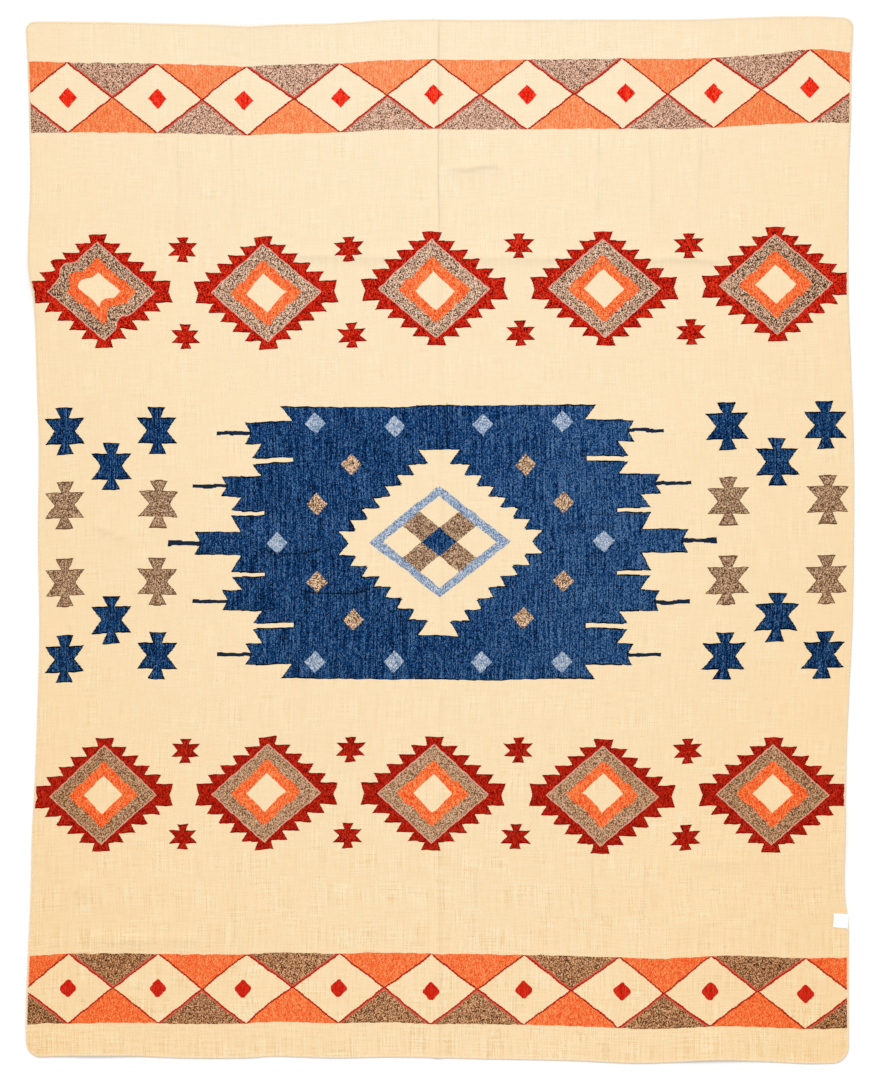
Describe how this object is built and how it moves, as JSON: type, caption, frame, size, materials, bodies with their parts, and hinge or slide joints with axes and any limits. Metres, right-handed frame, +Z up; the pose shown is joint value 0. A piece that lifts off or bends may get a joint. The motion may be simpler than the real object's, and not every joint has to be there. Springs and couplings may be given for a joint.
{
  "type": "alpaca blanket",
  "caption": "Woven alpaca blanket laid flat and face up, with rounded corners, uneven edges, a centre fold crease, an overcast hem and a small blank sewn label.",
  "frame": {"origin": "on the floor under the middle of the blanket's outline", "axes": "+Z up from the floor through the cloth, +Y up the face towards the top band, +X to the right across the face"},
  "size_m": [1.9076, 2.4118, 0.0081],
  "materials": {
    "wool": "brushed woven alpaca wool, cream with woven patterns in navy, light blue, dark red, orange, grey and brown",
    "label_tape": "plain white woven tape"
  },
  "bodies": {
    "root": {"blanket": "wool", "care_label": "label_tape"}
  },
  "joints": []
}
